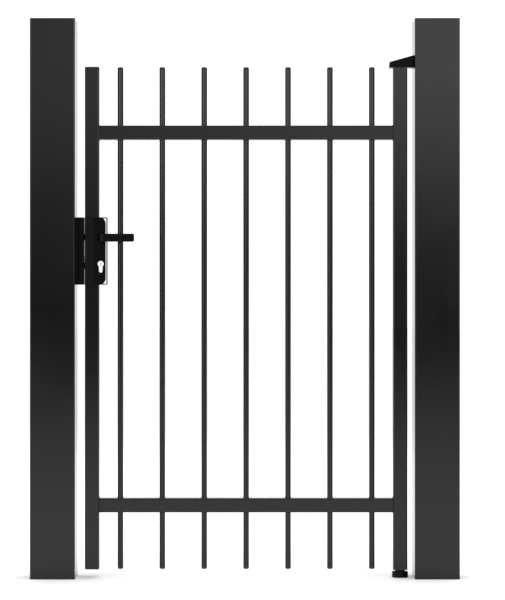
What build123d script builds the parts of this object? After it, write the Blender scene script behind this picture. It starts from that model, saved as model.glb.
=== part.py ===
from build123d import *
import os

# Garden gate: one steel bar leaf between two square posts, with a pivot bracket on the right post,
# a pivot that stands on the ground, and a lever lock that closes into a keeper on the left post.
#
# Millimetres. +Z is up and Z = 0 is the ground. X runs from the latch post to the hinge post, with
# X = 0 midway between the posts. Y = 0 is the middle plane of the leaf, and -Y is the front.

# ---------------------------------------------------------------- driving dimensions

POST_SIDE = 125
POST_WALL = 4
POST_CORNER = 4
POST_HEIGHT = 1557
POST_CAP = 3

LEAF_WIDTH = 900
LEAF_HEIGHT = 1403
LEAF_BOTTOM = 23
LATCH_GAP = 25
HINGE_GAP = 18

TUBE_SIDE = 40
TUBE_WALL = 3
TUBE_CORNER = 4
UPPER_RAIL_Z = 1242
LOWER_RAIL_Z = 202

BAR_COUNT = 7
BAR_RADIUS = 8
BAR_WALL = 2
BAR_CAP = 8

PIN_RADIUS = 8
RUNNING_GAP = 0.05

LOCK_Z = 911.5
LOCK_HEIGHT = 188
LOCK_BACKSET = 45
LOCK_CENTRES = 72
LOCK_FRAME_REACH = 63
LOCK_FRAME_WALL = 3
ESCUTCHEON_THICK = 6
LEVER_HEIGHT = 22
LEVER_THICK = 12
LEVER_FRONT_Y = 84
LEVER_REACH = 95
REAR_LEVER_HEIGHT = 16
REAR_LEVER_REACH = 85
CYLINDER_HALF_LENGTH = 30
LATCH_PROJECTION = 11
FACEPLATE_THICK = 3
KEEPER_WIDTH = 23
KEEPER_BASE = 8

M8 = 4
M8_HOLE = 4.1
M6 = 3
M6_HOLE = 3.2
M6_HEAD = 6
M5 = 2.5
M5_HOLE = 2.55
M5_HEAD = 5
HEAD_GAP = 0.05

# ---------------------------------------------------------------- derived places

HALF_OPENING = (LATCH_GAP + LEAF_WIDTH + HINGE_GAP) / 2
POST_X = HALF_OPENING + POST_SIDE / 2
HALF_POST = POST_SIDE / 2
HALF_TUBE = TUBE_SIDE / 2
LEAF_LEFT = LATCH_GAP - HALF_OPENING
LEAF_RIGHT = LEAF_LEFT + LEAF_WIDTH
LEAF_TOP = LEAF_BOTTOM + LEAF_HEIGHT
LATCH_STILE_X = LEAF_LEFT + HALF_TUBE
PIVOT_X = LEAF_RIGHT - HALF_TUBE
RAIL_START = LEAF_LEFT + TUBE_SIDE
RAIL_LENGTH = LEAF_WIDTH - 2 * TUBE_SIDE
BAR_PITCH = RAIL_LENGTH / BAR_COUNT
BAR_XS = [RAIL_START + BAR_PITCH * (i + 0.5) for i in range(BAR_COUNT)]

# The hinge stile hangs slightly lower than the latch stile and has no flanged plugs.
HINGE_STILE_BOTTOM = LEAF_BOTTOM - 1
HINGE_STILE_TOP = LEAF_TOP - 4
NECK_TOP = HINGE_STILE_BOTTOM - 1
BRACKET_BOTTOM = HINGE_STILE_TOP + 1.5

LOCK_X = LEAF_LEFT + LOCK_BACKSET
SPINDLE_Z = LOCK_Z + LOCK_CENTRES / 2
CYLINDER_Z = LOCK_Z - LOCK_CENTRES / 2
HALF_LOCK = LOCK_HEIGHT / 2
FRAME_INSIDE = HALF_LOCK - LOCK_FRAME_WALL
FACE_BACK = LEAF_LEFT + FACEPLATE_THICK
KEEPER_FACE = KEEPER_WIDTH - HALF_OPENING
KEEPER_STEP = KEEPER_BASE - HALF_OPENING

# ---------------------------------------------------------------- shared shapes

BASE = (Align.CENTER, Align.CENTER, Align.MIN)


def block(x, y, z):
    """Box between a low and a high value on each axis."""
    size = (x[1] - x[0], y[1] - y[0], z[1] - z[0])
    centre = ((x[0] + x[1]) / 2, (y[0] + y[1]) / 2, (z[0] + z[1]) / 2)
    return Pos(*centre) * Box(*size)


def around(centre, half):
    """Low and high value, half to each side of a centre."""
    return (centre - half, centre + half)


def rod(radius, length, start, direction=(0, 0, 1)):
    """Round bar from a start point along a direction."""
    return Plane(origin=start, z_dir=direction) * Cylinder(radius, length, align=BASE)


def ring(outer, inner, length, start, direction=(0, 0, 1)):
    """Round sleeve from a start point along a direction."""
    return rod(outer, length, start, direction) - rod(inner, length, start, direction)


def rounded_bar(side, corner, length):
    """Square bar with rounded corners, standing on Z = 0."""
    return extrude(RectangleRounded(side, side, corner), length)


def square_tube(side, wall, corner, length):
    """Square tube with rounded corners, standing on Z = 0."""
    bore = side - 2 * wall
    return rounded_bar(side, corner, length) - rounded_bar(bore, max(corner - wall, 1), length)


def countersink(radius, head_radius, length, start, direction):
    """Shape of a countersunk screw, or of the hole for one. The start is on the head's face."""
    head = Cone(head_radius, radius, head_radius - radius, align=BASE)
    return Plane(origin=start, z_dir=direction) * head + rod(radius, length, start, direction)


def countersunk_screw(radius, head_radius, length, start, direction):
    """Countersunk screw with a hexagon socket in its head."""
    socket = extrude(RegularPolygon(radius * 0.62, 6), radius)
    screw = countersink(radius, head_radius, length, start, direction)
    return screw - Plane(origin=start, z_dir=direction) * socket


def headed_screw(radius, head_radius, head_height, length, start, direction):
    """Screw whose round head sits on the surface at the start point, with a hexagon socket."""
    plane = Plane(origin=start, z_dir=direction)
    head = Pos(0, 0, -head_height) * Cylinder(head_radius, head_height, align=BASE)
    head = fillet(head.edges().sort_by(Axis.Z)[0], head_height * 0.45)
    socket = Pos(0, 0, -head_height) * extrude(RegularPolygon(radius * 0.62, 6), head_height * 0.6)
    shank = Cylinder(radius, length, align=BASE)
    return plane * (head + shank - socket)


def group(shapes):
    """Separate solids that share one node."""
    return Compound(children=[shape.solid() for shape in shapes])


# ---------------------------------------------------------------- posts and feet

FOOT_PLATE = 10
FOOT_SIDE = 116
FOOT_WALL = 5
FOOT_HEIGHT = 70
ANCHOR_SPACING = 70
ANCHOR_RADIUS = 6
FOOT_SCREW_Z = 42
FOOT_SCREW_OFFSET = 30
KEEPER_SCREW_OFFSET = 85
BRACKET_BOLT_Y = 11
BRACKET_BOLT_Z = BRACKET_BOTTOM + 17


def foot_screw_places(post_x):
    """Where the screws enter the rear face of a post."""
    return [(post_x + side * FOOT_SCREW_OFFSET, HALF_POST, FOOT_SCREW_Z) for side in (-1, 1)]


def keeper_screw_places(x):
    """Keeper screw axes, in a plane of constant X."""
    return [(x, 0, LOCK_Z + side * KEEPER_SCREW_OFFSET) for side in (-1, 1)]


def bracket_bolt_places(x):
    """Bracket bolt axes, in a plane of constant X."""
    return [(x, side * BRACKET_BOLT_Y, BRACKET_BOLT_Z) for side in (-1, 1)]


def post(post_x):
    """Square tube, open at the bottom, with clearance holes for the foot screws."""
    tube = square_tube(POST_SIDE, POST_WALL, POST_CORNER, POST_HEIGHT - POST_CAP)
    tube = Pos(post_x, 0, 0) * tube
    for place in foot_screw_places(post_x):
        tube -= rod(M8_HOLE, POST_WALL, place, (0, -1, 0))
    return tube


def left_post():
    tube = post(-POST_X)
    for place in keeper_screw_places(-HALF_OPENING):
        tube -= rod(RIVET_NUT_RADIUS, POST_WALL, place, (-1, 0, 0))
    return tube


def right_post():
    tube = post(POST_X)
    for place in bracket_bolt_places(HALF_OPENING):
        tube -= rod(M8_HOLE, POST_WALL, place, (1, 0, 0))
    return tube


def post_cap(post_x):
    """Flat plate, flush with the tube, on a square locating ring."""
    plate = rounded_bar(POST_SIDE, POST_CORNER, POST_CAP)
    plate = fillet(plate.faces().sort_by(Axis.Z)[-1].edges(), 0.8)
    locating_ring = square_tube(FOOT_SIDE, 3, 3, 12)
    return Pos(post_x, 0, POST_HEIGHT - POST_CAP) * (plate + Pos(0, 0, -12) * locating_ring)


def post_foot(post_x):
    """Anchor plate with four holes and a sleeve that the post slides over."""
    foot = rounded_bar(FOOT_SIDE, 3, FOOT_PLATE)
    foot += Pos(0, 0, FOOT_PLATE) * square_tube(FOOT_SIDE, FOOT_WALL, 3, FOOT_HEIGHT - FOOT_PLATE)
    half = ANCHOR_SPACING / 2
    for x in (-half, half):
        for y in (-half, half):
            foot -= rod(ANCHOR_RADIUS, FOOT_PLATE, (x, y, 0))
    foot = Pos(post_x, 0, 0) * foot
    for x, _, z in foot_screw_places(post_x):
        foot -= rod(M8_HOLE, FOOT_WALL + 2, (x, FOOT_SIDE / 2, z), (0, -1, 0))
    return foot


def foot_screws():
    places = foot_screw_places(-POST_X) + foot_screw_places(POST_X)
    return group([headed_screw(M8, 7, 4, 12, place, (0, -1, 0)) for place in places])


# ---------------------------------------------------------------- keeper on the left post

KEEPER_HALF_DEPTH = 22
KEEPER_BASE_HALF_DEPTH = 18
KEEPER_SCREW_LENGTH = 42
RIVET_NUT_RADIUS = 4.6
RIVET_NUT_LENGTH = 18
STOP_HALF_HEIGHT = 70
STOP_INNER_Y = 29.5
STOP_THICK = 4
STOP_REACH = 12.5
STOP_FINGER_HALF = 9
STOP_OUTER_Y = STOP_INNER_Y + STOP_THICK
STOP_SCREW_X = KEEPER_STEP + 7
STOP_SCREW_OFFSET = 58
BUFFER_OFFSET = 40
BUFFER_FACE_Y = 24
BUFFER_X = LEAF_LEFT + 7

BOLT_HALF_THICK = 6
BOLT_GAP = 0.4
LATCH_HALF_HEIGHT = 12
LATCH_Z = SPINDLE_Z + 24
DEAD_BOLT_HALF_HEIGHT = 18
DEAD_BOLT_Z = CYLINDER_Z + 4
POCKET_GAP = 2


def stop_screw_places(y):
    """Axes of the screws that join the stop bar to the strike, in a plane of constant Y."""
    return [(STOP_SCREW_X, y, LOCK_Z + side * STOP_SCREW_OFFSET) for side in (-1, 1)]


def buffer_places(y):
    """Axes of the buffers, in a plane of constant Y."""
    return [(BUFFER_X, y, LOCK_Z + side * BUFFER_OFFSET) for side in (-1, 1)]


def keeper_base():
    """Recessed spacer between the post and the strike."""
    base = block(
        (-HALF_OPENING, KEEPER_STEP),
        around(0, KEEPER_BASE_HALF_DEPTH),
        around(LOCK_Z, HALF_LOCK),
    )
    for place in keeper_screw_places(-HALF_OPENING):
        base -= rod(M6_HOLE, KEEPER_BASE, place, (1, 0, 0))
    return base


def keeper_strike():
    """Strike block with one through pocket for the latch and one for the dead bolt."""
    strike = block(
        (KEEPER_STEP, KEEPER_FACE),
        around(0, KEEPER_HALF_DEPTH),
        around(LOCK_Z, HALF_LOCK),
    )
    front_edges = strike.faces().sort_by(Axis.Y)[0].edges()
    strike = fillet(front_edges, 1.5)
    for z, half_height in ((LATCH_Z, LATCH_HALF_HEIGHT), (DEAD_BOLT_Z, DEAD_BOLT_HALF_HEIGHT)):
        pocket_height = around(z, half_height + POCKET_GAP)
        pocket_depth = around(0, BOLT_HALF_THICK + POCKET_GAP)
        strike -= block((KEEPER_STEP, KEEPER_FACE), pocket_depth, pocket_height)
    for place in keeper_screw_places(KEEPER_FACE):
        strike -= countersink(M6_HOLE, M6_HEAD + 0.2, KEEPER_WIDTH, place, (-1, 0, 0))
    for place in stop_screw_places(KEEPER_HALF_DEPTH):
        strike -= rod(M5_HOLE, 13, place, (0, -1, 0))
    return strike


def keeper_screws():
    places = keeper_screw_places(KEEPER_FACE)
    return group([countersunk_screw(M6, M6_HEAD, KEEPER_SCREW_LENGTH, p, (-1, 0, 0)) for p in places])


def keeper_rivet_nuts():
    """Threaded sleeves set in the wall of the left post."""
    places = keeper_screw_places(-HALF_OPENING)
    radius = RIVET_NUT_RADIUS - 0.05
    return group([ring(radius, M6_HOLE, RIVET_NUT_LENGTH, place, (-1, 0, 0)) for place in places])


def stop_bar():
    """Bar on the rear of the strike, with two fingers that reach behind the leaf's free edge."""
    height = around(LOCK_Z, STOP_HALF_HEIGHT)
    stop = block((KEEPER_STEP, KEEPER_FACE - 2), (KEEPER_HALF_DEPTH, STOP_OUTER_Y), height)
    finger_x = (KEEPER_STEP, LEAF_LEFT + STOP_REACH)
    for _, _, z in buffer_places(STOP_INNER_Y):
        finger_z = around(z, STOP_FINGER_HALF)
        stop += block(finger_x, (STOP_INNER_Y, STOP_OUTER_Y), finger_z)
    for place in stop_screw_places(STOP_OUTER_Y):
        stop -= countersink(M5_HOLE, M5_HEAD + HEAD_GAP, 20, place, (0, -1, 0))
    for place in buffer_places(STOP_INNER_Y):
        stop -= rod(2.5, STOP_THICK, place, (0, 1, 0))
    return stop


def stop_screws():
    places = stop_screw_places(STOP_OUTER_Y)
    return group([countersunk_screw(M5, M5_HEAD, 22, place, (0, -1, 0)) for place in places])


def stop_buffers():
    """Rubber buttons with a stem through the stop bar."""
    shapes = []
    for place in buffer_places(STOP_INNER_Y):
        button = rod(5, STOP_INNER_Y - BUFFER_FACE_Y, place, (0, -1, 0))
        button = fillet(button.edges().sort_by(Axis.Y)[0], 1)
        shapes.append(button + rod(2.45, STOP_THICK, place, (0, 1, 0)))
    return group(shapes)


# ---------------------------------------------------------------- pivots

BRACKET_REACH = 68
BRACKET_TIP = 15.5
BRACKET_ROOT = 34.5
BRACKET_LIP = 1.6
BRACKET_PIN_DEPTH = 13
TOP_PIN_LENGTH = 40
PUCK_RADIUS = 22.5
PUCK_HEIGHT = 17
NECK_RADIUS = 13.5
FLOOR_PIN_START = 5
FLOOR_PIN_TOP = 60
FLOOR_BOLT_CIRCLE = 36
FLOOR_BOLT_COUNT = 3
FLOOR_BOLT_RADIUS = 2.75


def top_hinge_bracket():
    """Wedge bolted to the right post, with a lip past the stile and a hole for the top pin."""
    tip_x = HALF_OPENING - BRACKET_REACH
    outline = Polyline(
        (tip_x, BRACKET_BOTTOM - BRACKET_LIP),
        (tip_x + BRACKET_LIP, BRACKET_BOTTOM),
        (HALF_OPENING, BRACKET_BOTTOM),
        (HALF_OPENING, BRACKET_BOTTOM + BRACKET_ROOT),
        (tip_x, BRACKET_BOTTOM + BRACKET_TIP),
        close=True,
    )
    side_view = Plane.XZ * make_face(outline)
    wedge = extrude(side_view, HALF_TUBE, both=True)
    tip_edge = wedge.edges().filter_by(Axis.Y).sort_by(Axis.X)[:2].sort_by(Axis.Z)[-1]
    wedge = fillet(tip_edge, 4)
    wedge -= rod(PIN_RADIUS + RUNNING_GAP, BRACKET_PIN_DEPTH, (PIVOT_X, 0, BRACKET_BOTTOM))
    for place in bracket_bolt_places(HALF_OPENING):
        wedge -= rod(M8_HOLE, 18, place, (-1, 0, 0))
    return wedge


def bracket_bolts():
    """Bolts whose heads lie inside the right post."""
    places = bracket_bolt_places(HALF_OPENING + POST_WALL)
    return group([headed_screw(M8, 6.5, 5, 20, place, (-1, 0, 0)) for place in places])


def top_pin():
    start = (PIVOT_X, 0, BRACKET_BOTTOM + BRACKET_PIN_DEPTH)
    return chamfer(rod(PIN_RADIUS, TOP_PIN_LENGTH, start, (0, 0, -1)).edges().sort_by(Axis.Z)[0], 1)


def floor_pivot():
    """Puck that is screwed to the ground, with a shoulder that carries the leaf."""
    puck = rod(PUCK_RADIUS, PUCK_HEIGHT, (0, 0, 0))
    puck = chamfer(puck.edges().sort_by(Axis.Z)[-1], 1.8)
    puck += rod(NECK_RADIUS, NECK_TOP - PUCK_HEIGHT, (0, 0, PUCK_HEIGHT))
    puck -= rod(PIN_RADIUS + RUNNING_GAP, NECK_TOP - FLOOR_PIN_START, (0, 0, FLOOR_PIN_START))
    for place in PolarLocations(FLOOR_BOLT_CIRCLE / 2, FLOOR_BOLT_COUNT, start_angle=90):
        puck -= place * Cylinder(FLOOR_BOLT_RADIUS, PUCK_HEIGHT, align=BASE)
    return Pos(PIVOT_X, 0, 0) * puck


def floor_pin():
    pin = rod(PIN_RADIUS, FLOOR_PIN_TOP - FLOOR_PIN_START, (PIVOT_X, 0, FLOOR_PIN_START))
    return chamfer(pin.edges().sort_by(Axis.Z)[-1], 1)


# ---------------------------------------------------------------- leaf frame

BUSH_RADIUS = 11
BUSH_LENGTH = 32
PIVOT_BLOCK_LENGTH = 45
STILE_PLUG = 5
LOCK_NOTCH = 4.5
FACE_HALF_WIDTH = 11
FACE_HALF_HEIGHT = 92


def upright_tube(x, bottom, top):
    return Pos(x, 0, bottom) * square_tube(TUBE_SIDE, TUBE_WALL, TUBE_CORNER, top - bottom)


def latch_stile():
    """Free upright of the leaf, cut open for the lock."""
    stile = upright_tube(LATCH_STILE_X, LEAF_BOTTOM + STILE_PLUG, LEAF_TOP - STILE_PLUG)
    stile -= block(
        (LEAF_LEFT, FACE_BACK),
        around(0, FACE_HALF_WIDTH + 0.1),
        around(LOCK_Z, FACE_HALF_HEIGHT + 0.1),
    )
    stile -= block(
        (RAIL_START - LOCK_NOTCH, RAIL_START),
        around(0, HALF_TUBE),
        around(LOCK_Z, FRAME_INSIDE),
    )
    return stile


def hinge_stile():
    """Hinged upright of the leaf."""
    return upright_tube(PIVOT_X, HINGE_STILE_BOTTOM, HINGE_STILE_TOP)


def rail(z):
    """Horizontal tube, drilled for the bars that pass through it."""
    tube = square_tube(TUBE_SIDE, TUBE_WALL, TUBE_CORNER, RAIL_LENGTH)
    tube = Plane(origin=(RAIL_START, 0, z), z_dir=(1, 0, 0)) * tube
    for x in BAR_XS:
        tube -= rod(BAR_RADIUS + 0.2, TUBE_SIDE, (x, 0, z - HALF_TUBE))
    return tube


def bar(x):
    length = LEAF_HEIGHT - 2 * BAR_CAP
    return ring(BAR_RADIUS, BAR_RADIUS - BAR_WALL, length, (x, 0, LEAF_BOTTOM + BAR_CAP))


def bar_cap(x, z, up):
    """Domed cap with a stem that plugs the end of a bar. Z is the bar's cut end."""
    direction = (0, 0, up)
    head = rod(BAR_RADIUS, BAR_CAP, (x, 0, z), direction)
    outer_edge = head.edges().sort_by(Axis.Z)[-1 if up > 0 else 0]
    head = fillet(outer_edge, 4.5)
    return head + rod(BAR_RADIUS - BAR_WALL - 0.1, 14, (x, 0, z), (0, 0, -up))


def bar_caps(up):
    """All the caps at one end of the bars."""
    z = LEAF_TOP - BAR_CAP if up > 0 else LEAF_BOTTOM + BAR_CAP
    return group([bar_cap(x, z, up) for x in BAR_XS])


def stile_plug(up):
    """Rounded plug in one end of the latch stile. Up is 1 at the top and -1 at the bottom."""
    plug = rounded_bar(TUBE_SIDE, TUBE_CORNER, STILE_PLUG)
    plug = fillet(plug.faces().sort_by(Axis.Z)[-1].edges(), 3.8)
    bore = TUBE_SIDE - 2 * TUBE_WALL - 0.4
    plug += Pos(0, 0, -14) * rounded_bar(bore, 1.5, 14)
    if up < 0:
        plug = Rot(180, 0, 0) * plug
    z = LEAF_TOP - STILE_PLUG if up > 0 else LEAF_BOTTOM + STILE_PLUG
    return Pos(LATCH_STILE_X, 0, z) * plug


def pivot_block(bottom):
    """Solid block welded into the hinge stile, bored for a bush."""
    bore = TUBE_SIDE - 2 * TUBE_WALL
    body = Pos(PIVOT_X, 0, bottom) * rounded_bar(bore, 1.5, PIVOT_BLOCK_LENGTH)
    return body - rod(BUSH_RADIUS + RUNNING_GAP, PIVOT_BLOCK_LENGTH, (PIVOT_X, 0, bottom))


def pivot_bush(bottom):
    return ring(BUSH_RADIUS, PIN_RADIUS + RUNNING_GAP, BUSH_LENGTH, (PIVOT_X, 0, bottom))


def thrust_washer():
    """Washer under the hinge stile, which rides on the floor pivot's shoulder."""
    start = (PIVOT_X, 0, NECK_TOP + 0.1)
    return ring(NECK_RADIUS, PIN_RADIUS + RUNNING_GAP, HINGE_STILE_BOTTOM - NECK_TOP - 0.1, start)


# ---------------------------------------------------------------- lock, fixed pieces

CASE_HALF_HEIGHT = 76
CASE_HALF_THICK = 8
CASE_WALL = 1.5
CASE_BACK = LOCK_X + 12
TAB_LOW = 78
TAB_HIGH = 106
FACE_SCREW_OFFSET = 85
ESCUTCHEON_INSET = 1.5
ESCUTCHEON_WIDTH = 57
REAR_ESCUTCHEON_WIDTH = 52
ESCUTCHEON_CORNER = 17
ESCUTCHEON_EDGE = 2.5
ESCUTCHEON_BEND = 25
ESCUTCHEON_BOLT_OFFSET = 83
JOURNAL_RADIUS = 7.5
LEVER_BUSH_RADIUS = 9.4
CYLINDER_ROUND = 8.5
CYLINDER_LOBE = 5
CYLINDER_DROP = 24.5
PLUG_RADIUS = 6.5
CAM_RADIUS = 13.2
CAM_HALF_THICK = 4.8
CYLINDER_SCREW_DROP = 19.5
FOLLOWER_JOURNAL = 6.5
SPRING_RADIUS = 3
SPRING_WIRE = 0.8
SPRING_PITCH = 2.6
SPRING_Z = SPINDLE_Z + 31
SPRING_SEAT = LOCK_X - 8


def face_screw_places(x):
    """Axes of the faceplate screws, in a plane of constant X."""
    return [(x, 0, LOCK_Z + side * FACE_SCREW_OFFSET) for side in (-1, 1)]


def lock_frame():
    """U-shaped strip, welded to the latch stile, around the part of the lock outside the stile."""
    reach = LEAF_LEFT + LOCK_FRAME_REACH
    outer = block((RAIL_START, reach), around(0, HALF_TUBE), around(LOCK_Z, HALF_LOCK))
    far_edges = outer.edges().filter_by(Axis.Y).sort_by(Axis.X)[-2:]
    outer = fillet(far_edges, 4)
    inner = block(
        (RAIL_START, reach - LOCK_FRAME_WALL), around(0, HALF_TUBE), around(LOCK_Z, FRAME_INSIDE)
    )
    inner_edges = inner.edges().filter_by(Axis.Y).sort_by(Axis.X)[-2:]
    return outer - fillet(inner_edges, 1.5)


def face_tabs():
    """Tapped tabs behind the leading wall of the stile, above and below the lock."""
    shapes = []
    for side, place in zip((-1, 1), face_screw_places(FACE_BACK)):
        ends = sorted((LOCK_Z + side * TAB_LOW, LOCK_Z + side * TAB_HIGH))
        tab = block((FACE_BACK, FACE_BACK + 3), around(0, 12), ends)
        shapes.append(tab - rod(M5_HOLE, 3, place, (1, 0, 0)))
    return group(shapes)


def bolt_window(x, half_height, z):
    """Opening in a plate for a bolt that slides along X."""
    return block(x, around(0, BOLT_HALF_THICK + BOLT_GAP), around(z, half_height + BOLT_GAP))


def faceplate():
    """Plate on the free edge of the leaf, with windows for both bolts."""
    span = (LEAF_LEFT, FACE_BACK)
    plate = block(span, around(0, FACE_HALF_WIDTH), around(LOCK_Z, FACE_HALF_HEIGHT))
    plate -= bolt_window(span, LATCH_HALF_HEIGHT, LATCH_Z)
    plate -= bolt_window(span, DEAD_BOLT_HALF_HEIGHT, DEAD_BOLT_Z)
    cylinder_screw_at = (LEAF_LEFT, 0, CYLINDER_Z - CYLINDER_SCREW_DROP)
    for place in face_screw_places(LEAF_LEFT) + [cylinder_screw_at]:
        plate -= countersink(M5_HOLE, M5_HEAD + HEAD_GAP, FACEPLATE_THICK, place, (1, 0, 0))
    return plate


def face_screws():
    places = face_screw_places(LEAF_LEFT)
    return group([countersunk_screw(M5, M5_HEAD, 9, place, (1, 0, 0)) for place in places])


def profile_face(gap=0):
    """Outline of a profile cylinder in the XZ plane: a circle over a narrower round-ended lobe."""
    lobe = CYLINDER_LOBE + gap
    lobe_centre = CYLINDER_LOBE - CYLINDER_DROP
    outline = Circle(CYLINDER_ROUND + gap)
    outline += Pos(0, lobe_centre / 2) * Rectangle(2 * lobe, -lobe_centre)
    outline += Pos(0, lobe_centre) * Circle(lobe)
    return Plane(origin=(LOCK_X, 0, CYLINDER_Z), x_dir=(1, 0, 0), z_dir=(0, -1, 0)) * outline


def profile_cut(half_length):
    """Through cut for the profile cylinder."""
    return extrude(profile_face(0.3), half_length, both=True)


def case_outline(y):
    return block((FACE_BACK, CASE_BACK), y, around(LOCK_Z, CASE_HALF_HEIGHT))


def lock_case():
    """Open tray that holds the bolts, with a seat for the latch spring."""
    case = case_outline((-CASE_HALF_THICK, CASE_HALF_THICK - CASE_WALL))
    inside_y = (CASE_WALL - CASE_HALF_THICK, CASE_HALF_THICK - CASE_WALL)
    case -= block(
        (FACE_BACK + CASE_WALL, CASE_BACK - CASE_WALL),
        inside_y,
        around(LOCK_Z, CASE_HALF_HEIGHT - CASE_WALL),
    )
    case += block((SPRING_SEAT, SPRING_SEAT + 3), inside_y, (SPRING_Z - 4, SPRING_Z + 5))
    front_wall = (FACE_BACK, FACE_BACK + CASE_WALL)
    case -= bolt_window(front_wall, LATCH_HALF_HEIGHT, LATCH_Z)
    case -= bolt_window(front_wall, DEAD_BOLT_HALF_HEIGHT, DEAD_BOLT_Z)
    case -= rod(M5_HOLE + 0.25, CASE_WALL, (FACE_BACK, 0, CYLINDER_Z - CYLINDER_SCREW_DROP), (1, 0, 0))
    journal_at = (LOCK_X, -CASE_HALF_THICK, SPINDLE_Z)
    case -= rod(FOLLOWER_JOURNAL + RUNNING_GAP, CASE_WALL, journal_at, (0, 1, 0))
    back_wall = (CASE_BACK - CASE_WALL, CASE_BACK)
    case -= block(back_wall, around(0, 5.5), around(CYLINDER_Z, CAM_RADIUS + 1))
    return case - profile_cut(CASE_HALF_THICK)


def case_cover():
    """Flat lid of the lock case."""
    lid_back = CASE_HALF_THICK - CASE_WALL
    cover = case_outline((lid_back, CASE_HALF_THICK))
    journal_at = (LOCK_X, lid_back, SPINDLE_Z)
    cover -= rod(FOLLOWER_JOURNAL + RUNNING_GAP, CASE_WALL, journal_at, (0, 1, 0))
    return cover - profile_cut(CASE_HALF_THICK)


def escutcheon(facing, width):
    """Cover plate on one side of the leaf: square by the free edge, round-cornered by the bars,
    and a little thinner towards the free edge. Facing is -1 for the front and 1 for the rear."""
    left = LEAF_LEFT + ESCUTCHEON_INSET
    right = left + width
    bend = left + ESCUTCHEON_BEND
    section = Polyline(
        (left, HALF_TUBE),
        (left, HALF_TUBE + ESCUTCHEON_EDGE),
        (bend, HALF_TUBE + ESCUTCHEON_THICK),
        (right, HALF_TUBE + ESCUTCHEON_THICK),
        (right, HALF_TUBE),
        close=True,
    )
    plate = Pos(0, 0, LOCK_Z - HALF_LOCK) * extrude(make_face(section), LOCK_HEIGHT)
    bend_edge = plate.edges().filter_by(Axis.Z).sort_by(lambda e: abs(e.center().X - bend))[0]
    plate = fillet(bend_edge, 55)
    corners = plate.edges().filter_by(Axis.Y).sort_by(Axis.X)[-2:]
    plate = fillet(corners, ESCUTCHEON_CORNER)
    outer_face = plate.faces().filter_by(Axis.Y).sort_by(Axis.Y)[-1]
    plate = fillet(outer_face.edges().sort_by(Axis.X)[1:], 1)
    if facing < 0:
        plate = mirror(plate, about=Plane.XZ)
    bush_at = (LOCK_X, facing * HALF_TUBE, SPINDLE_Z)
    plate -= rod(LEVER_BUSH_RADIUS + 0.05, ESCUTCHEON_THICK, bush_at, (0, facing, 0))
    return plate - profile_cut(HALF_TUBE + ESCUTCHEON_THICK)


def escutcheon_bolt_places(y):
    return [(LOCK_X, y, LOCK_Z + side * ESCUTCHEON_BOLT_OFFSET) for side in (-1, 1)]


def front_escutcheon():
    """Front plate, with blind threads for the bolts."""
    plate = escutcheon(-1, ESCUTCHEON_WIDTH)
    for place in escutcheon_bolt_places(-HALF_TUBE):
        plate -= rod(M5_HOLE, ESCUTCHEON_THICK - 1.5, place, (0, -1, 0))
    return plate


def rear_escutcheon():
    """Rear plate, countersunk for the bolts."""
    plate = escutcheon(1, REAR_ESCUTCHEON_WIDTH)
    for place in escutcheon_bolt_places(HALF_TUBE + ESCUTCHEON_THICK):
        plate -= countersink(M5_HOLE, M5_HEAD + HEAD_GAP, ESCUTCHEON_THICK, place, (0, -1, 0))
    return plate


def escutcheon_bolts():
    places = escutcheon_bolt_places(HALF_TUBE + ESCUTCHEON_THICK)
    length = 2 * HALF_TUBE + 2 * ESCUTCHEON_THICK - 2
    return group([countersunk_screw(M5, M5_HEAD, length, place, (0, -1, 0)) for place in places])


def lever_bushes():
    """Plastic sleeves that carry the lever journals in the escutcheons."""
    shapes = []
    for facing in (-1, 1):
        start = (LOCK_X, facing * HALF_TUBE, SPINDLE_Z)
        inner = JOURNAL_RADIUS + RUNNING_GAP
        shapes.append(ring(LEVER_BUSH_RADIUS, inner, ESCUTCHEON_THICK, start, (0, facing, 0)))
    return group(shapes)


def cylinder_housing():
    """Profile cylinder housing, slotted in the middle for the cam."""
    housing = extrude(profile_face(), CYLINDER_HALF_LENGTH, both=True)
    housing = chamfer(housing.faces().sort_by(Axis.Y)[0].edges(), 0.5)
    housing -= rod(
        PLUG_RADIUS + RUNNING_GAP,
        2 * CYLINDER_HALF_LENGTH,
        (LOCK_X, -CYLINDER_HALF_LENGTH, CYLINDER_Z),
        (0, 1, 0),
    )
    housing -= block(
        around(LOCK_X, CYLINDER_ROUND),
        around(0, CAM_HALF_THICK + 0.3),
        (CYLINDER_Z - CAM_RADIUS - 0.8, CYLINDER_Z + CYLINDER_ROUND),
    )
    start = (LOCK_X - CYLINDER_LOBE, 0, CYLINDER_Z - CYLINDER_SCREW_DROP)
    return housing - rod(M5_HOLE, 2 * CYLINDER_LOBE, start, (1, 0, 0))


def cylinder_screw():
    start = (LEAF_LEFT, 0, CYLINDER_Z - CYLINDER_SCREW_DROP)
    return countersunk_screw(M5, M5_HEAD, LOCK_BACKSET + 4, start, (1, 0, 0))


def latch_spring():
    """Coil spring between the latch head and its seat in the case."""
    length = SPRING_SEAT - LATCH_TAIL_START - 2 * SPRING_WIRE
    coil = Helix(pitch=SPRING_PITCH, height=length, radius=SPRING_RADIUS)
    section = Plane(origin=coil @ 0, z_dir=coil % 0) * Circle(SPRING_WIRE / 2)
    wire = sweep(section, path=coil, is_frenet=True)
    start = (LATCH_TAIL_START + SPRING_WIRE, 0, SPRING_Z)
    return Plane(origin=start, z_dir=(1, 0, 0)) * wire


# ---------------------------------------------------------------- lock, moving pieces

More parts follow.
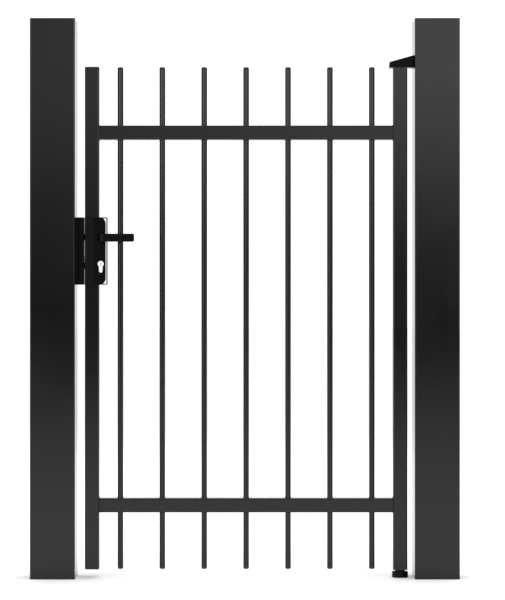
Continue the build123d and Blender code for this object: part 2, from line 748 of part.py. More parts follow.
LATCH_TAIL_START = LOCK_X - 30
LATCH_HOOK_FACE = LOCK_X - 7.7
LATCH_HOOK_THICK = 3.5
ARM_LENGTH = 17.1
ARM_TIP_RADIUS = 3
ARM_WIDTH = 5
ARM_REST_ANGLE = 40
FOLLOWER_RADIUS = 8
SPINDLE_SIDE = 8
SPINDLE_HALF_LENGTH = 64
COLLAR_RADIUS = 12.5
COLLAR_THICK = 4.5
COLLAR_GAP = 0.5
LEVER_BEND = 18
PLATE_Y = HALF_TUBE + ESCUTCHEON_THICK


def square_bar(side, y, z):
    """Square bar along Y on the lock's X."""
    return block(around(LOCK_X, side / 2), y, around(z, side / 2))


def lever(facing, height, reach):
    """Flat bar lever that bends from its neck, on a round collar with a journal."""
    neck_half = LEVER_THICK / 2
    collar_y = PLATE_Y + COLLAR_GAP
    bend_y = LEVER_FRONT_Y - LEVER_BEND
    inner_y = LEVER_FRONT_Y - LEVER_THICK
    bend_x = LOCK_X - neck_half + LEVER_BEND
    tip_x = LOCK_X + reach
    outline = [
        Line((LOCK_X - neck_half, collar_y), (LOCK_X - neck_half, bend_y)),
        RadiusArc((LOCK_X - neck_half, bend_y), (bend_x, LEVER_FRONT_Y), LEVER_BEND),
        Line((bend_x, LEVER_FRONT_Y), (tip_x, LEVER_FRONT_Y)),
        Line((tip_x, LEVER_FRONT_Y), (tip_x, inner_y)),
        Line((tip_x, inner_y), (bend_x, inner_y)),
        RadiusArc((bend_x, inner_y), (LOCK_X + neck_half, bend_y), LEVER_THICK - LEVER_BEND),
        Line((LOCK_X + neck_half, bend_y), (LOCK_X + neck_half, collar_y)),
        Line((LOCK_X + neck_half, collar_y), (LOCK_X - neck_half, collar_y)),
    ]
    flat = make_face(outline)
    grip = Pos(0, 0, SPINDLE_Z - height / 2) * extrude(flat, height)
    tip_edges = grip.edges().filter_by(Axis.Y).sort_by(Axis.X)[-2:]
    grip = fillet(tip_edges, 3.5)
    long_edges = grip.faces().filter_by(Axis.Y).sort_by(Axis.Y)[-1].edges()
    grip = fillet(long_edges, 1.2)
    grip += rod(COLLAR_RADIUS, COLLAR_THICK, (LOCK_X, collar_y, SPINDLE_Z), (0, 1, 0))
    journal = rod(JOURNAL_RADIUS, ESCUTCHEON_THICK, (LOCK_X, collar_y, SPINDLE_Z), (0, -1, 0))
    grip += journal
    socket_end = SPINDLE_HALF_LENGTH + 0.5
    grip -= square_bar(SPINDLE_SIDE + 0.2, (HALF_TUBE, socket_end), SPINDLE_Z)
    grip -= rod(2.1, COLLAR_RADIUS, (LOCK_X, collar_y + COLLAR_THICK + 4, SPINDLE_Z), (0, 0, -1))
    if facing < 0:
        grip = mirror(grip, about=Plane.XZ)
    return grip


def spindle():
    return square_bar(SPINDLE_SIDE, around(0, SPINDLE_HALF_LENGTH), SPINDLE_Z)


def lever_grub_screws():
    """Grub screws that hold the levers on the spindle."""
    shapes = []
    for facing in (-1, 1):
        y = facing * (PLATE_Y + COLLAR_GAP + COLLAR_THICK + 4)
        shapes.append(rod(2, 6, (LOCK_X, y, SPINDLE_Z - SPINDLE_SIDE / 2 - 0.1), (0, 0, -1)))
    return group(shapes)


def follower():
    """Hub on the spindle whose arm draws the latch back."""
    origin = (LOCK_X, 0, SPINDLE_Z)
    hub = rod(FOLLOWER_RADIUS, 10, (LOCK_X, -5, SPINDLE_Z), (0, 1, 0))
    journal_at = (LOCK_X, -CASE_HALF_THICK, SPINDLE_Z)
    hub += rod(FOLLOWER_JOURNAL, 2 * CASE_HALF_THICK, journal_at, (0, 1, 0))
    arm = Pos(0, ARM_LENGTH / 2) * Rectangle(ARM_WIDTH, ARM_LENGTH)
    arm += Pos(0, ARM_LENGTH) * Circle(ARM_TIP_RADIUS)
    arm = Rot(0, 0, ARM_REST_ANGLE) * arm
    side_view = Plane(origin=origin, x_dir=(1, 0, 0), z_dir=(0, -1, 0)) * arm
    hub += extrude(side_view, 2.8, both=True)
    return hub - square_bar(SPINDLE_SIDE + 0.2, around(0, CASE_HALF_THICK), SPINDLE_Z)


def latch_bolt():
    """Spring latch, bevelled on the rear side, with a tail and a hook for the follower's arm."""
    tip = LEAF_LEFT - LATCH_PROJECTION
    head = Polyline(
        (LATCH_TAIL_START, -BOLT_HALF_THICK),
        (tip, -BOLT_HALF_THICK),
        (tip, -BOLT_HALF_THICK + 2.5),
        (LEAF_LEFT - 1, BOLT_HALF_THICK),
        (LATCH_TAIL_START, BOLT_HALF_THICK),
        close=True,
    )
    bolt = extrude(make_face(head), 2 * LATCH_HALF_HEIGHT)
    bolt = Pos(0, 0, LATCH_Z - LATCH_HALF_HEIGHT) * bolt
    hook_end = LATCH_HOOK_FACE + LATCH_HOOK_THICK
    tail_top = SPINDLE_Z + 25
    bolt += block((LATCH_TAIL_START, hook_end), around(0, 3), (SPINDLE_Z + 21, tail_top))
    bolt += block((LATCH_HOOK_FACE, hook_end), around(0, 3), (SPINDLE_Z + 14.5, tail_top))
    return bolt


def dead_bolt():
    """Square bolt, flush with the faceplate when unlocked, with a tail over the cam."""
    head_end = LOCK_X - 15
    top = DEAD_BOLT_Z + DEAD_BOLT_HALF_HEIGHT
    bolt = block(
        (LEAF_LEFT, head_end),
        around(0, BOLT_HALF_THICK),
        around(DEAD_BOLT_Z, DEAD_BOLT_HALF_HEIGHT),
    )
    return bolt + block((head_end, LOCK_X + 6), around(0, 4), (CYLINDER_Z + CAM_RADIUS + 0.8, top))


def cylinder_plug(facing):
    """Turning core of the cylinder on one side, with a keyway."""
    depth = CYLINDER_HALF_LENGTH - CAM_HALF_THICK
    start = (LOCK_X, facing * CYLINDER_HALF_LENGTH, CYLINDER_Z)
    plug = rod(PLUG_RADIUS, depth, start, (0, -facing, 0))
    ends = sorted((facing * CYLINDER_HALF_LENGTH, facing * 8))
    return plug - block(around(LOCK_X, 0.9), ends, (CYLINDER_Z - 5.5, CYLINDER_Z + 2.5))


def cam():
    """Cam between the plugs, its nose hanging down while the key is out."""
    start = (LOCK_X, -CAM_HALF_THICK, CYLINDER_Z)
    body = rod(CYLINDER_ROUND - 0.5, 2 * CAM_HALF_THICK, start, (0, 1, 0))
    nose = rod(CAM_RADIUS, 2 * CAM_HALF_THICK, start, (0, 1, 0))
    nose &= block(around(LOCK_X, 4), around(0, CAM_HALF_THICK), (CYLINDER_Z - CAM_RADIUS, CYLINDER_Z))
    return body + nose


# ---------------------------------------------------------------- nodes

parts = {
    "left_post": left_post(),
    "right_post": right_post(),
    "left_post_cap": post_cap(-POST_X),
    "right_post_cap": post_cap(POST_X),
    "left_post_foot": post_foot(-POST_X),
    "right_post_foot": post_foot(POST_X),
    "foot_screws": foot_screws(),
    "keeper_base": keeper_base(),
    "keeper_strike": keeper_strike(),
    "keeper_screws": keeper_screws(),
    "keeper_rivet_nuts": keeper_rivet_nuts(),
    "stop_bar": stop_bar(),
    "stop_screws": stop_screws(),
    "stop_buffers": stop_buffers(),
    "top_hinge_bracket": top_hinge_bracket(),
    "bracket_bolts": bracket_bolts(),
    "top_pin": top_pin(),
    "floor_pivot": floor_pivot(),
    "floor_pin": floor_pin(),
    "latch_stile": latch_stile(),
    "hinge_stile": hinge_stile(),
    "upper_rail": rail(UPPER_RAIL_Z),
    "lower_rail": rail(LOWER_RAIL_Z),
    "bar_top_caps": bar_caps(1),
    "bar_bottom_caps": bar_caps(-1),
    "stile_plugs": group([stile_plug(1), stile_plug(-1)]),
    "pivot_blocks": group(
        [pivot_block(HINGE_STILE_BOTTOM), pivot_block(HINGE_STILE_TOP - PIVOT_BLOCK_LENGTH)]
    ),
    "pivot_bushes": group(
        [pivot_bush(HINGE_STILE_BOTTOM), pivot_bush(HINGE_STILE_TOP - BUSH_LENGTH)]
    ),
    "thrust_washer": thrust_washer(),
    "lock_frame": lock_frame(),
    "face_tabs": face_tabs(),
    "faceplate": faceplate(),
    "face_screws": face_screws(),
    "lock_case": lock_case(),
    "case_cover": case_cover(),
    "front_escutcheon": front_escutcheon(),
    "rear_escutcheon": rear_escutcheon(),
    "escutcheon_bolts": escutcheon_bolts(),
    "lever_bushes": lever_bushes(),
    "cylinder_housing": cylinder_housing(),
    "cylinder_screw": cylinder_screw(),
    "latch_spring": latch_spring(),
    "front_lever": lever(-1, LEVER_HEIGHT, LEVER_REACH),
    "rear_lever": lever(1, REAR_LEVER_HEIGHT, REAR_LEVER_REACH),
    "spindle": spindle(),
    "lever_grub_screws": lever_grub_screws(),
    "follower": follower(),
    "latch_bolt": latch_bolt(),
    "dead_bolt": dead_bolt(),
    "front_cylinder_plug": cylinder_plug(-1),
    "rear_cylinder_plug": cylinder_plug(1),
    "cam": cam(),
}
for index, x in enumerate(BAR_XS):
    parts[f"bar_{index + 1}"] = bar(x)

os.makedirs("parts", exist_ok=True)
for node, shape in parts.items():
    export_step(shape, f"parts/{node}.step")
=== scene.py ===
import math
import random

import bmesh
import bpy
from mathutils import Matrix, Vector


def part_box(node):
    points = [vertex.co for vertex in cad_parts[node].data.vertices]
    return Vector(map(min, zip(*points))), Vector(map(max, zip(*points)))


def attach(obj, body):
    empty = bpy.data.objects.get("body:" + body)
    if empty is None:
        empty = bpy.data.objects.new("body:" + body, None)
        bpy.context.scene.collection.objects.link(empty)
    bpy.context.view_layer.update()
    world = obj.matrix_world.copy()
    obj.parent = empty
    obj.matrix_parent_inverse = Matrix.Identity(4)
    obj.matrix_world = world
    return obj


# Garden gate: finishes for every CAD node, weld beads and cap lips, and a pale studio.

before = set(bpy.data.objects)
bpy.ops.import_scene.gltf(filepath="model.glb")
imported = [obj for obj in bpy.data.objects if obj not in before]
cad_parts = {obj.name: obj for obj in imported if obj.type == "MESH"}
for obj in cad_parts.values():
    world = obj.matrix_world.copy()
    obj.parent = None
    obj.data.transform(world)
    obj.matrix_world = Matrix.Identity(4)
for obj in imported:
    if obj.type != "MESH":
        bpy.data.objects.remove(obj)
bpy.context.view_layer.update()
MM = 0.001
TURN = 2 * math.pi

# Agreement of a rounded normal with the true one, on an open face and on a sharp edge.
FACE_AGREEMENT, EDGE_AGREEMENT = 0.999, 0.86
# Upward part of the normal where dust starts to settle, and where it settles fully.
DUST_STARTS, DUST_FULL = 0.55, 0.98
# Height up to which dust is splashed from the ground, in metres.
SPLASH_TOP = 0.75
PAINT_EDGE = 1.2 * MM
METAL_EDGE = 0.6 * MM

# ---------------------------------------------------------------- node materials


class Material:
    """A node material under construction, with a short way to add and join its nodes."""

    def __init__(self, name):
        self.data = bpy.data.materials.new(name)
        self.data.use_nodes = True
        self.tree = self.data.node_tree
        self.shader = self.tree.nodes["Principled BSDF"]
        self.place = self.node("ShaderNodeTexCoord").outputs["Object"]

    def node(self, kind, inputs=None, **settings):
        """New node. An input is a number, a colour or another node's output."""
        made = self.tree.nodes.new(kind)
        for name, value in settings.items():
            setattr(made, name, value)
        for key, value in (inputs or {}).items():
            if isinstance(value, bpy.types.NodeSocket):
                self.tree.links.new(value, made.inputs[key])
            else:
                made.inputs[key].default_value = value
        return made

    def set(self, **constants):
        """Constants on the shader's own sockets."""
        for name, value in constants.items():
            self.shader.inputs[name.replace("_", " ")].default_value = value

    def drive(self, socket, output):
        self.tree.links.new(output, self.shader.inputs[socket])

    def noise(self, scale, detail=2.0, stretch=(1, 1, 1)):
        """Noise from 0 to 1, in cycles per metre, squeezed along an axis by the stretch."""
        mapping = self.node("ShaderNodeMapping", {"Vector": self.place, "Scale": stretch})
        inputs = {"Vector": mapping.outputs["Vector"], "Scale": scale, "Detail": detail}
        return self.node("ShaderNodeTexNoise", inputs).outputs["Fac"]

    def spread(self, value, low, high, to_low, to_high):
        """Clamped map from one range to another."""
        inputs = {0: value, 1: low, 2: high, 3: to_low, 4: to_high}
        return self.node("ShaderNodeMapRange", inputs).outputs[0]

    def math(self, operation, a, b):
        return self.node("ShaderNodeMath", {0: a, 1: b}, operation=operation).outputs[0]

    def blend(self, factor, a, b):
        """Mix of two colours."""
        mix = self.node("ShaderNodeMix", data_type="RGBA")
        for index, value in ((0, factor), (6, a), (7, b)):
            if isinstance(value, bpy.types.NodeSocket):
                self.tree.links.new(value, mix.inputs[index])
            else:
                mix.inputs[index].default_value = value
        return mix.outputs[2]

    def bump(self, heights):
        """Surface relief from pairs of a height output and its depth in metres."""
        normal = None
        for height, depth in heights:
            inputs = {"Height": height, "Distance": depth, "Strength": 1.0}
            if normal is not None:
                inputs["Normal"] = normal
            normal = self.node("ShaderNodeBump", inputs).outputs["Normal"]
        self.drive("Normal", normal)

    def edges(self, radius):
        """1 along sharp outer and inner edges, 0 on open faces."""
        rounded = self.node("ShaderNodeBevel", {"Radius": radius}, samples=4).outputs["Normal"]
        true = self.node("ShaderNodeNewGeometry").outputs["Normal"]
        product = self.node("ShaderNodeVectorMath", {0: rounded, 1: true}, operation="DOT_PRODUCT")
        agreement = product.outputs["Value"]
        return self.spread(agreement, FACE_AGREEMENT, EDGE_AGREEMENT, 0.0, 1.0)

    def facing_up(self):
        """1 on level tops, 0 on walls."""
        normal = self.node("ShaderNodeTexCoord").outputs["Normal"]
        height = self.node("ShaderNodeSeparateXYZ", {0: normal}).outputs["Z"]
        return self.spread(height, DUST_STARTS, DUST_FULL, 0.0, 1.0)

    def near_ground(self, top):
        """1 at the ground, 0 above the top."""
        height = self.node("ShaderNodeSeparateXYZ", {0: self.place}).outputs["Z"]
        return self.spread(height, top, 0.0, 0.0, 1.0)


def grey(value, warmth=0.0):
    """Colour of one lightness. Warmth above 0 leans to brown and below 0 to blue."""
    return (value * (1 + warmth), value, value * (1 - warmth), 1)


def painted(name, colour, pale_edge, dust, roughness, ior, ground_dust, peel_depth):
    """Sprayed or powder coat: orange peel, uneven gloss, paler edges that are partly worn paint
    and partly a painted highlight, and dust that settles on tops and near the ground."""
    coat = Material(name)
    patches = coat.noise(7, 4)
    runs = coat.noise(40, 3, (1, 1, 0.04))
    speckle = coat.noise(420, 2)
    settled = coat.math("MULTIPLY", coat.facing_up(), coat.spread(patches, 0.3, 0.7, 0.35, 0.9))
    low_down = coat.near_ground(SPLASH_TOP)
    splashed = coat.math("MULTIPLY", low_down, low_down)
    splashed = coat.math("MULTIPLY", splashed, coat.spread(runs, 0.3, 0.7, 0.6, 1.0))
    splashed = coat.math("MULTIPLY", splashed, ground_dust)
    dirt = coat.math("MAXIMUM", settled, splashed)
    dirt = coat.math("MULTIPLY", dirt, coat.spread(speckle, 0.3, 0.65, 0.7, 1.0))
    # Paler edges: partly worn paint, partly a painted highlight where rounded edges catch the
    # light.
    edge_wear_and_highlight = coat.spread(patches, 0.35, 0.7, 0.15, 0.6)
    edge_wear_and_highlight = coat.math("MULTIPLY", coat.edges(PAINT_EDGE), edge_wear_and_highlight)
    paler = [c * 1.15 for c in colour[:3]] + [1]
    shade = coat.blend(coat.spread(patches, 0.3, 0.7, 0.0, 1.0), colour, paler)
    shade = coat.blend(edge_wear_and_highlight, shade, pale_edge)
    shade = coat.blend(coat.math("MULTIPLY", dirt, 0.3), shade, dust)
    coat.drive("Base Color", shade)
    rough = coat.spread(patches, 0.25, 0.75, roughness - 0.015, roughness + 0.015)
    rough = coat.math("ADD", rough, coat.spread(runs, 0.3, 0.7, -0.006, 0.006))
    rough = coat.math("ADD", rough, coat.math("MULTIPLY", dirt, 0.12))
    coat.drive("Roughness", rough)
    coat.set(IOR=ior)
    peel = coat.noise(330, 1)
    coat.bump([(peel, peel_depth), (speckle, peel_depth * 0.3)])
    return coat.data


def powder_coat():
    """Black powder coat on the posts and the leaf."""
    return painted(
        "powder_coat",
        colour=grey(0.0034, -0.03),
        # Edge colour: worn paint and a painted edge highlight.
        pale_edge=grey(0.012),
        dust=grey(0.1, 0.2),
        roughness=0.14,
        ior=1.42,
        ground_dust=0.1,
        peel_depth=0.007 * MM,
    )


def lock_black():
    """Deeper, duller black on the lock, the keeper and the hinge fittings."""
    return painted(
        "lock_black",
        colour=grey(0.0014),
        # Edge colour: worn paint and a painted edge highlight.
        pale_edge=grey(0.008),
        dust=grey(0.05, 0.1),
        roughness=0.26,
        ior=1.2,
        ground_dust=0.04,
        peel_depth=0.007 * MM,
    )


def moulded(name, colour, roughness, grain_scale, grain_depth):
    """Moulded plastic or rubber: fine spark grain, soft scuffs and a little dust."""
    plastic = Material(name)
    grain = plastic.noise(grain_scale, 2)
    scuffs = plastic.noise(60, 5, (1, 1, 0.3))
    scuffed = plastic.spread(scuffs, 0.55, 0.75, 0.0, 0.5)
    pale = [c * 3 for c in colour[:3]] + [1]
    shade = plastic.blend(scuffed, colour, pale)
    dusty = plastic.spread(scuffs, 0.3, 0.7, 0.0, 0.3)
    dusty = plastic.math("MULTIPLY", plastic.facing_up(), dusty)
    plastic.drive("Base Color", plastic.blend(dusty, shade, grey(0.12, 0.12)))
    rough = plastic.spread(grain, 0.3, 0.7, roughness - 0.05, roughness + 0.08)
    plastic.drive("Roughness", rough)
    plastic.set(IOR=1.46)
    plastic.bump([(grain, grain_depth)])
    return plastic.data


def cap_plastic():
    """Black plastic of the bar caps and stile plugs."""
    return moulded("cap_plastic", grey(0.008), 0.36, 900, 0.02 * MM)


def nylon():
    return moulded("nylon", grey(0.012), 0.5, 1100, 0.02 * MM)


def rubber():
    return moulded("rubber", grey(0.014), 0.68, 600, 0.05 * MM)


def metal(name, colour, tarnish, roughness, grain, relief):
    """Bare metal: drawn or turned grain along one axis, tarnish in patches, brighter edges."""
    bare = Material(name)
    drawn = bare.noise(900, 3, grain)
    patches = bare.noise(45, 5)
    pale_edge = bare.edges(METAL_EDGE)
    spots = bare.spread(patches, 0.42, 0.72, 0.0, 0.8)
    shade = bare.blend(spots, colour, tarnish)
    bright = [min(1.0, c * 1.15) for c in colour[:3]] + [1]
    bare.drive("Base Color", bare.blend(bare.math("MULTIPLY", pale_edge, 0.6), shade, bright))
    rough = bare.spread(drawn, 0.25, 0.75, roughness - 0.06, roughness + 0.08)
    bare.drive("Roughness", bare.math("ADD", rough, bare.math("MULTIPLY", spots, 0.12)))
    bare.set(Metallic=1.0)
    bare.bump([(drawn, relief)])
    return bare.data


def zinc_steel():
    """Zinc plating with its crystal patches."""
    zinc = Material("zinc_steel")
    crystals = zinc.node("ShaderNodeTexVoronoi", {"Vector": zinc.place, "Scale": 260.0})
    tone = zinc.node("ShaderNodeSeparateColor", {0: crystals.outputs["Color"]}).outputs[0]
    bloom = zinc.noise(35, 5)
    shade = zinc.blend(tone, (0.5, 0.52, 0.55, 1), (0.66, 0.67, 0.68, 1))
    white_rust = zinc.spread(bloom, 0.55, 0.75, 0.0, 0.5)
    zinc.drive("Base Color", zinc.blend(white_rust, shade, (0.8, 0.8, 0.78, 1)))
    zinc.drive("Roughness", zinc.math("ADD", zinc.spread(tone, 0, 1, 0.3, 0.42), white_rust))
    zinc.set(Metallic=1.0)
    zinc.bump([(tone, 0.01 * MM)])
    return zinc.data


def stainless():
    """Stainless steel brushed along its height."""
    colours = ((0.66, 0.65, 0.63, 1), (0.5, 0.49, 0.46, 1))
    return metal("stainless", *colours, 0.3, (1, 1, 0.03), 0.006 * MM)


def nickel():
    """Pale satin nickel, blasted rather than brushed."""
    colours = ((0.98, 0.97, 0.94, 1), (0.92, 0.9, 0.86, 1))
    return metal("nickel", *colours, 0.62, (1, 1, 1), 0.01 * MM)


def bronze():
    """Oil-soaked turned bronze, nearly black."""
    colours = ((0.16, 0.1, 0.05, 1), (0.05, 0.032, 0.018, 1))
    return metal("bronze", *colours, 0.36, (0.1, 0.1, 1), 0.02 * MM)


MAKERS = (
    powder_coat, lock_black, cap_plastic, zinc_steel, stainless, nickel, bronze, nylon, rubber,
)
finishes = {maker.__name__: maker() for maker in MAKERS}


def finish_nodes():
    """Gives each CAD node the detailed finish of the slot that it was packed with."""
    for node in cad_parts.values():
        for place in node.material_slots:
            slot_name = place.material.name.split(".")[0]
            place.material = finishes[slot_name]


# ---------------------------------------------------------------- added detail

RAIL_BEAD = 1.5 * MM
RAIL_CORNER = 4 * MM
BAR_BEAD = 1.1 * MM
BAR_BEAD_OUTSIDE = 0.3 * MM
FRAME_BEAD = 1.3 * MM
FRAME_BEAD_INSET = 3 * MM
FRAME_SEED = 100
LIP_REACH = 0.28 * MM
LIP_RISE = 0.5 * MM
LIP_SUNK = 0.4 * MM


def add_piece(name, mesh_maker, body, slot_name):
    """Fills a mesh, smooths it, gives it its finish and hangs it on a body."""
    work = bmesh.new()
    mesh_maker(work)
    mesh = bpy.data.meshes.new(name)
    work.to_mesh(mesh)
    work.free()
    mesh.polygons.foreach_set("use_smooth", [True] * len(mesh.polygons))
    piece = bpy.data.objects.new(name, mesh)
    bpy.context.scene.collection.objects.link(piece)
    mesh.materials.append(finishes[slot_name])
    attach(piece, body)


def join_rings(work, rings, closed):
    """Skins rings of vertices, with end caps where the run is open."""
    count = len(rings)
    for i in range(count if closed else count - 1):
        here, ahead = rings[i], rings[(i + 1) % count]
        for j in range(len(here)):
            k = (j + 1) % len(here)
            work.faces.new((here[j], here[k], ahead[k], ahead[j]))
    if not closed:
        work.faces.new(list(reversed(rings[0])))
        work.faces.new(rings[-1])


def bead(work, path, radius, closed, seed, sides=8):
    """Weld bead along a path: a low round run with overlapping ripples of uneven size."""
    pick = random.Random(seed)
    rings = []
    count = len(path)
    for i, point in enumerate(path):
        before = path[(i - 1) % count] if closed or i else point
        after = path[(i + 1) % count] if closed or i < count - 1 else point
        along = (after - before).normalized()
        across = along.orthogonal().normalized()
        other = along.cross(across)
        ripple = 1 + 0.12 * math.sin(i * 2.1) + pick.uniform(-0.06, 0.06)
        if not closed:
            ripple *= 0.55 + 0.45 * min(1, 4 * i / count, 4 * (count - 1 - i) / count)
        ring = []
        for j in range(sides):
            angle = TURN * j / sides
            offset = across * math.cos(angle) + other * math.sin(angle)
            ring.append(work.verts.new(point + offset * radius * ripple))
        rings.append(ring)
    join_rings(work, rings, closed)


def circle_path(centre, radius, steps=40):
    """Level circle."""
    return [
        centre + Vector((math.cos(TURN * i / steps), math.sin(TURN * i / steps), 0)) * radius
        for i in range(steps)
    ]


def square_path(centre, half, corner, steps=7, run=22):
    """Rounded square in the plane across X, centred on a point."""
    points = []
    for quarter in range(4):
        start = quarter * TURN / 4
        middle = start + TURN / 8
        reach = (half - corner) * math.sqrt(2)
        pivot = (math.cos(middle) * reach, math.sin(middle) * reach)
        for i in range(steps):
            angle = start + TURN / 4 * i / (steps - 1)
            y = pivot[0] + corner * math.cos(angle)
            z = pivot[1] + corner * math.sin(angle)
            points.append(centre + Vector((0, y, z)))
    return even_path(points + points[:1], 4 * run)


def even_path(corners, count):
    """Evenly spaced points along straight runs between corners, without the last corner."""
    lengths = [(b - a).length for a, b in zip(corners, corners[1:])]
    step = sum(lengths) / count
    points = []
    travelled = 0.0
    target = 0.0
    for (a, b), length in zip(zip(corners, corners[1:]), lengths):
        while target < travelled + length - 1e-9 and len(points) < count:
            points.append(a.lerp(b, (target - travelled) / length))
            target += step
        travelled += length
    return points


def rail_welds():
    """Beads where the rails meet the stiles, and where each bar passes through a rail."""
    bar_half = bar_radius()

    def build(work):
        seed = 0
        for rail in ("upper_rail", "lower_rail"):
            low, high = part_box(rail)
            middle = (low.z + high.z) / 2
            for x in (low.x, high.x):
                centre = Vector((x, 0, middle))
                path = square_path(centre, (high.z - low.z) / 2, RAIL_CORNER)
                bead(work, path, RAIL_BEAD, True, seed)
                seed += 1
            for bar in bar_names():
                for z in (low.z, high.z):
                    centre = Vector((bar_x(bar), 0, z))
                    path = circle_path(centre, bar_half + BAR_BEAD_OUTSIDE)
                    bead(work, path, BAR_BEAD, True, seed)
                    seed += 1

    add_piece("rail_welds", build, "leaf", "powder_coat")


def frame_welds():
    """Beads across the ends of the lock frame, on the latch stile."""
    low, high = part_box("lock_frame")

    def build(work):
        for index, z in enumerate((low.z, high.z)):
            ends = [
                Vector((low.x, low.y + FRAME_BEAD_INSET, z)),
                Vector((low.x, high.y - FRAME_BEAD_INSET, z)),
            ]
            bead(work, even_path(ends, 26), FRAME_BEAD, False, FRAME_SEED + index)

    add_piece("frame_welds", build, "leaf", "powder_coat")


def bar_names():
    return sorted(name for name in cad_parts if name.startswith("bar_") and name[4:].isdigit())


def bar_x(bar):
    low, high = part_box(bar)
    return (low.x + high.x) / 2


def bar_radius():
    low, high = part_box(bar_names()[0])
    return (high.x - low.x) / 2


def lathe(work, centre, profile, sides=36):
    """Closed ring turned about Z, from pairs of a radius and a height."""
    rings = []
    for i in range(sides):
        angle = TURN * i / sides
        out = Vector((math.cos(angle), math.sin(angle), 0))
        rings.append([work.verts.new(centre + out * r + Vector((0, 0, z))) for r, z in profile])
    join_rings(work, rings, True)


def cap_lips():
    """Thin rolled lip where each plastic cap meets the cut end of its bar."""
    radius = bar_radius()
    profile = [
        (radius - LIP_SUNK, -LIP_RISE),
        (radius + LIP_REACH * 0.7, -LIP_RISE),
        (radius + LIP_REACH, -LIP_RISE * 0.5),
        (radius + LIP_REACH, LIP_RISE * 0.5),
        (radius + LIP_REACH * 0.7, LIP_RISE),
        (radius - LIP_SUNK, LIP_RISE),
    ]

    def build(work):
        for bar in bar_names():
            low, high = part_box(bar)
            for z in (low.z, high.z):
                lathe(work, Vector((bar_x(bar), 0, z)), profile)

    add_piece("cap_lips", build, "leaf", "cap_plastic")


# ---------------------------------------------------------------- studio

# Camera: place in metres, focal length in mm, shift as a share of the frame.
EYE = Vector((0, -7.24, 0.7786))
FOCAL = 155.33
FRAME_SHIFT = (0.0127, -0.0022)
# Strengths of the soft boxes and backdrop that mirror-like rays see, and of the plain white
# that all other rays see.
SURROUND = 3.1
BACKDROP = 1.15
PLAIN_WHITE = 1.16
# Soft lights: side in metres, power in watts.
LIGHT_SIDE = 4.0
OVERHEAD_POWER = 90
BEHIND_POWER = 70
# How far the floor runs from the gate, in metres.
FLOOR_FRONT = 13.0
FLOOR_BACK = 60.0
FLOOR_SIDE = 40.0


def make_floor():
    """Plain pale floor, reaching far behind the gate."""
    material = Material("pale_floor")
    mottle = material.noise(0.8, 3)
    shade = material.blend(mottle, (0.93, 0.92, 0.91, 1), (0.96, 0.955, 0.95, 1))
    material.drive("Base Color", shade)
    material.set(Roughness=0.9)
    work = bmesh.new()
    corners = (
        (-FLOOR_SIDE, -FLOOR_FRONT), (FLOOR_SIDE, -FLOOR_FRONT),
        (FLOOR_SIDE, FLOOR_BACK), (-FLOOR_SIDE, FLOOR_BACK),
    )
    work.faces.new([work.verts.new((x, y, 0)) for x, y in corners])
    mesh = bpy.data.meshes.new("studio_floor")
    work.to_mesh(mesh)
    work.free()
    mesh.materials.append(material.data)
    floor = bpy.data.objects.new("studio_floor", mesh)
    bpy.context.scene.collection.objects.link(floor)


def ramp(tree, value, stops):
    """Grey curve from pairs of a position and a lightness, the first at 0 and the last
    at 1."""
    node = tree.nodes.new("ShaderNodeValToRGB")
    node.color_ramp.interpolation = "LINEAR"
    elements = node.color_ramp.elements
    elements[0].color = (stops[0][1],) * 3 + (1,)
    elements[1].color = (stops[-1][1],) * 3 + (1,)
    for position, level in stops[1:-1]:
        elements.new(position).color = (level, level, level, 1)
    tree.links.new(value, node.inputs[0])
    return node.outputs[0]


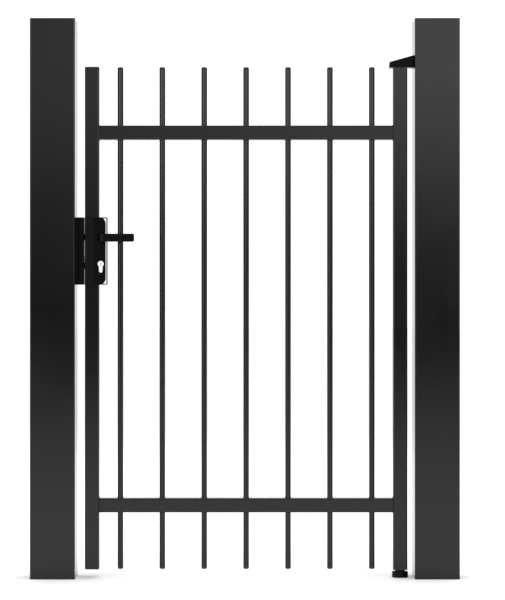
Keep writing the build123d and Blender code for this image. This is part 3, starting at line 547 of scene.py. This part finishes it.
def make_world():
    """White studio. Mirror-like rays see soft boxes to both sides with a dark band at eye level,
    and a white backdrop behind the gate; all other rays see plain white."""
    world = bpy.data.worlds.new("studio")
    world.use_nodes = True
    tree = world.node_tree
    nodes, links = tree.nodes, tree.links

    def calc(operation, a, b=0.0):
        node = nodes.new("ShaderNodeMath")
        node.operation = operation
        for index, value in enumerate((a, b)):
            if isinstance(value, bpy.types.NodeSocket):
                links.new(value, node.inputs[index])
            else:
                node.inputs[index].default_value = value
        return node.outputs[0]

    towards = nodes.new("ShaderNodeTexCoord").outputs["Generated"]
    axes = nodes.new("ShaderNodeSeparateXYZ")
    links.new(towards, axes.inputs[0])
    x, y, z = axes.outputs
    azimuth = calc("ARCTAN2", x, calc("MULTIPLY", y, -1.0))
    around = calc("ADD", calc("DIVIDE", azimuth, TURN), 0.5)
    elevation = calc("ARCSINE", z)
    upward = calc("ADD", calc("DIVIDE", elevation, math.pi), 0.5)

    def at(degrees):
        """Place of an azimuth on its ramp: 0 is in front of the gate, above 0 towards +X."""
        return 0.5 + degrees / 360

    def up(degrees):
        """Place of an elevation on its ramp: 0 is the horizon."""
        return 0.5 + degrees / 180

    by_azimuth = ramp(tree, around, [
        (0.0, 0.1), (at(-165), 0.05), (at(-150), 0.0), (at(-82), 0.0), (at(-66), 0.6),
        (at(-55), 1.3), (at(-26), 1.3), (at(-14), 0.35), (at(-4), 0.32), (at(4), 0.74),
        (at(12), 1.0), (at(40), 1.2), (at(62), 0.6), (at(72), 0.0), (at(150), 0.0),
        (at(165), 0.05), (1.0, 0.1),
    ])
    by_height = ramp(tree, upward, [
        (0.0, 0.5), (up(-20), 0.5), (up(-5), 0.4), (up(-3.5), 0.02), (up(0), 0.0),
        (up(1.8), 0.02), (up(3.6), 0.8), (up(5), 1.0), (up(7), 1.0), (up(10), 0.12), (1.0, 0.12),
    ])
    strips = ramp(tree, around, [
        (0.0, 0.0), (at(-75), 0.0), (at(-55), 0.6), (at(-28), 0.6), (at(-14), 0.0), (at(14), 0.0),
        (at(28), 0.3), (at(52), 0.3), (at(68), 0.0), (1.0, 0.0),
    ])
    backdrop = ramp(tree, calc("ADD", calc("MULTIPLY", y, 0.5), 0.5), [
        (0.0, 0.0), (0.965, 0.0), (0.985, 1.0), (1.0, 1.0),
    ])
    level = calc("MAXIMUM", calc("MULTIPLY", by_azimuth, by_height), strips)
    level = calc("MULTIPLY", level, SURROUND)
    level = calc("MAXIMUM", level, calc("MULTIPLY", backdrop, BACKDROP))
    lamp = nodes["Background"]
    links.new(level, lamp.inputs["Color"])
    plain = nodes.new("ShaderNodeBackground")
    plain.inputs["Color"].default_value = (1, 1, 1, 1)
    plain.inputs["Strength"].default_value = PLAIN_WHITE
    mix = nodes.new("ShaderNodeMixShader")
    links.new(nodes.new("ShaderNodeLightPath").outputs["Is Glossy Ray"], mix.inputs[0])
    links.new(plain.outputs[0], mix.inputs[1])
    links.new(lamp.outputs[0], mix.inputs[2])
    links.new(mix.outputs[0], nodes["World Output"].inputs["Surface"])
    bpy.context.scene.world = world


def soft_light(name, place, target, power):
    """Square area light aimed at a point."""
    data = bpy.data.lights.new(name, "AREA")
    data.shape = "SQUARE"
    data.size = LIGHT_SIDE
    data.energy = power
    light = bpy.data.objects.new(name, data)
    light.location = place
    light.rotation_euler = (Vector(target) - Vector(place)).to_track_quat("-Z", "Y").to_euler()
    bpy.context.scene.collection.objects.link(light)


def make_lights():
    soft_light("overhead", (0.4, -0.6, 5.5), (0, 0, 0.4), OVERHEAD_POWER)
    soft_light("behind", (0, 5.0, 4.2), (0, 0, 0.5), BEHIND_POWER)


def make_camera():
    data = bpy.data.cameras.new("camera")
    data.lens = FOCAL
    data.shift_x, data.shift_y = FRAME_SHIFT
    camera = bpy.data.objects.new("camera", data)
    camera.location = EYE
    camera.rotation_euler = (math.pi / 2, 0, 0)
    bpy.context.scene.collection.objects.link(camera)
    bpy.context.scene.camera = camera


# ---------------------------------------------------------------- the scene

finish_nodes()
rail_welds()
frame_welds()
cap_lips()
make_floor()
make_world()
make_lights()
make_camera()
bpy.context.scene.view_settings.view_transform = "Standard"
